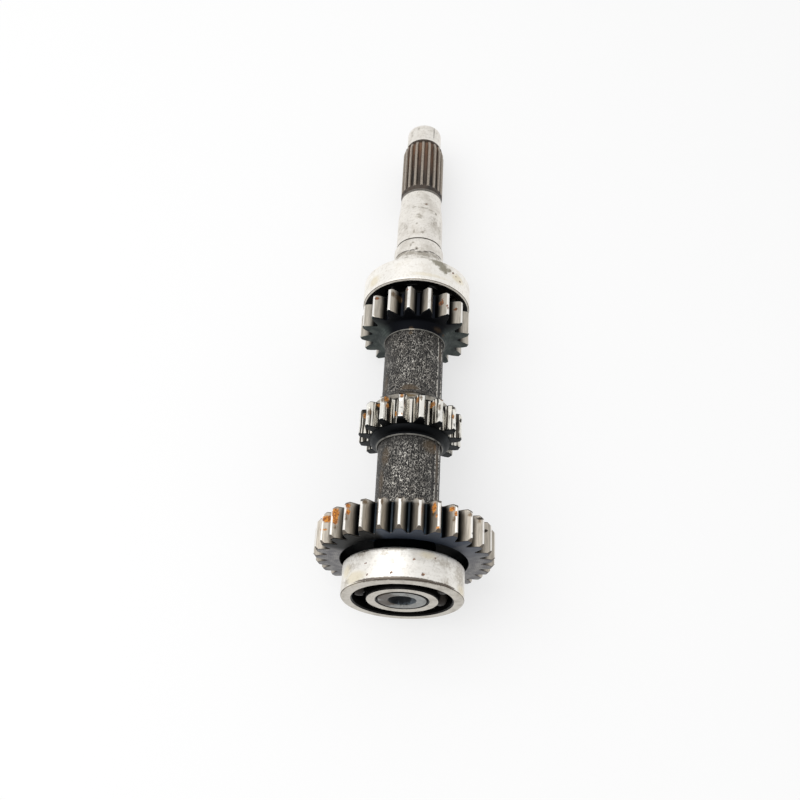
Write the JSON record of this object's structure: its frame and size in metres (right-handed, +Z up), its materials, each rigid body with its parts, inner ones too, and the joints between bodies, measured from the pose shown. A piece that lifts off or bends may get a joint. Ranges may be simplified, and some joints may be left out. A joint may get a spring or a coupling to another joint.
{
  "type": "transmission output shaft",
  "caption": "Gearbox output shaft: one steel forging with three spur gears, seats, a seal journal and an end spline, on two open ball bearings.",
  "frame": {"origin": "on the floor, under the middle of the lying shaft's box", "axes": "+Z up; the shaft lies along +Y with its splined end towards +Y, and its axis leans down towards +Y because it rests on the big gear and on the far bearing"},
  "size_m": [0.0926, 0.3162, 0.0931],
  "materials": {
    "shaft_steel": "forged scale on the tubes, ground seats and gear teeth, with rust spots",
    "ring_steel": "ground and lightly stained",
    "ball_steel": "polished",
    "cage_steel": "pressed and oily",
    "rivet_steel": "oily"
  },
  "bodies": {
    "shaft_body": {"shaft": "shaft_steel", "near_inner_ring": "ring_steel", "far_inner_ring": "ring_steel"},
    "near_outer": {"near_outer_ring": "ring_steel"},
    "near_ball_set": {"near_balls": "ball_steel", "near_cage_front": "cage_steel", "near_cage_back": "cage_steel", "near_rivets": "rivet_steel"},
    "far_outer": {"far_outer_ring": "ring_steel"},
    "far_ball_set": {"far_balls": "ball_steel", "far_cage_front": "cage_steel", "far_cage_back": "cage_steel", "far_rivets": "rivet_steel"}
  },
  "joints": [
    {"name": "near_outer_spin", "type": "hinge", "parent": "shaft_body", "child": "near_outer", "pos_m": [0, -0.14674, 0.04852], "axis": [0, 0.9952, -0.0976], "continuous": true},
    {"name": "near_balls_spin", "type": "hinge", "parent": "shaft_body", "child": "near_ball_set", "pos_m": [0, -0.14674, 0.04852], "axis": [0, 0.9952, -0.0976], "continuous": true},
    {"name": "far_outer_spin", "type": "hinge", "parent": "shaft_body", "child": "far_outer", "pos_m": [0, 0.02672, 0.0315], "axis": [0, 0.9952, -0.0976], "continuous": true},
    {"name": "far_balls_spin", "type": "hinge", "parent": "shaft_body", "child": "far_ball_set", "pos_m": [0, 0.02672, 0.0315], "axis": [0, 0.9952, -0.0976], "continuous": true}
  ],
  "couplings": [
    {"joint": "near_balls_spin", "follows": "near_outer_spin", "ratio": 0.63184},
    {"joint": "far_balls_spin", "follows": "far_outer_spin", "ratio": 0.60261}
  ]
}
